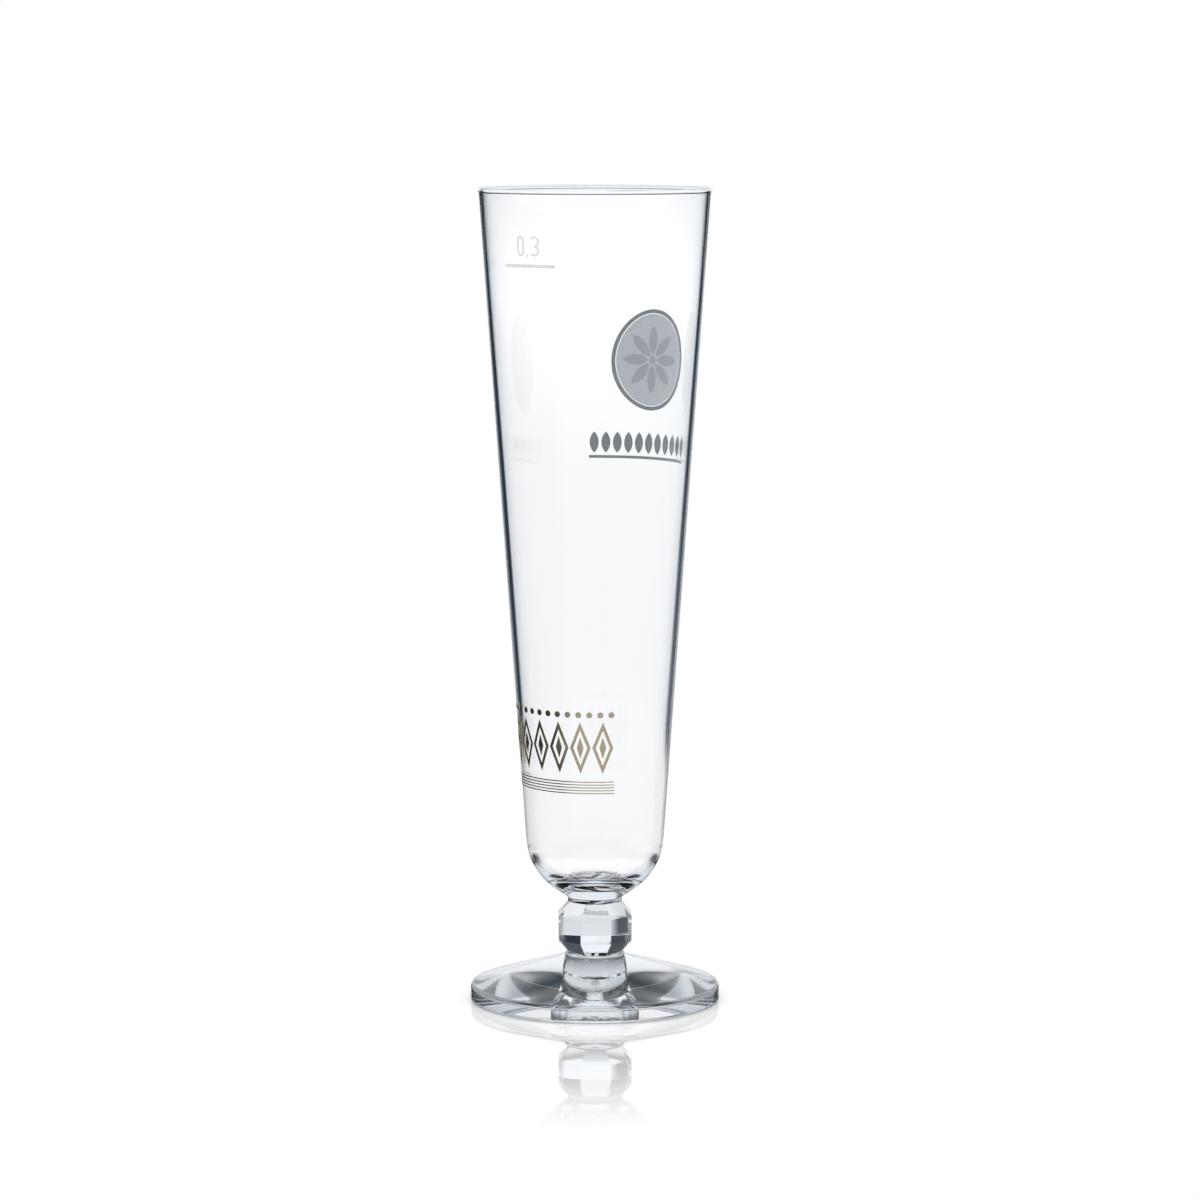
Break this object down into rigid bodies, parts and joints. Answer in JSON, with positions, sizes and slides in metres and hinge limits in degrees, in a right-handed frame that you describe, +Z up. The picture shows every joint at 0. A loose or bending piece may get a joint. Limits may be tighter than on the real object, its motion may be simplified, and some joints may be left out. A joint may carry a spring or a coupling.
{
  "type": "pilsner glass",
  "caption": "Tall tapered beer glass on a short faceted knop and a cone-shaped foot, with gold, grey and frosted prints on its wall.",
  "frame": {"origin": "centre of the foot, on the plane that the glass stands on", "axes": "+Z up along the axis of the glass, -Y towards the gold band and the filling line, +Y towards the medallion"},
  "size_m": [0.0702, 0.0702, 0.2284],
  "materials": {
    "clear_glass": "clear, fire-polished",
    "gold_print": "fired bright gold, slightly worn",
    "pale_enamel": "fired enamel, satin",
    "grey_enamel": "fired enamel, satin",
    "dark_enamel": "fired enamel, satin",
    "frosted_print": "fired white frost, matt"
  },
  "bodies": {
    "root": {"bowl": "clear_glass", "neck_ring": "clear_glass", "stem_knop": "clear_glass", "foot_collar": "clear_glass", "stem_peg": "clear_glass", "foot": "clear_glass", "gold_stripes": "gold_print", "gold_lozenges": "gold_print", "gold_lozenge_cores": "gold_print", "gold_beads": "gold_print", "medallion_field": "pale_enamel", "medallion_border": "dark_enamel", "medallion_rosette": "grey_enamel", "frieze_leaves": "dark_enamel", "frieze_line": "dark_enamel", "filling_line": "frosted_print", "measure_numerals": "frosted_print"}
  },
  "joints": []
}
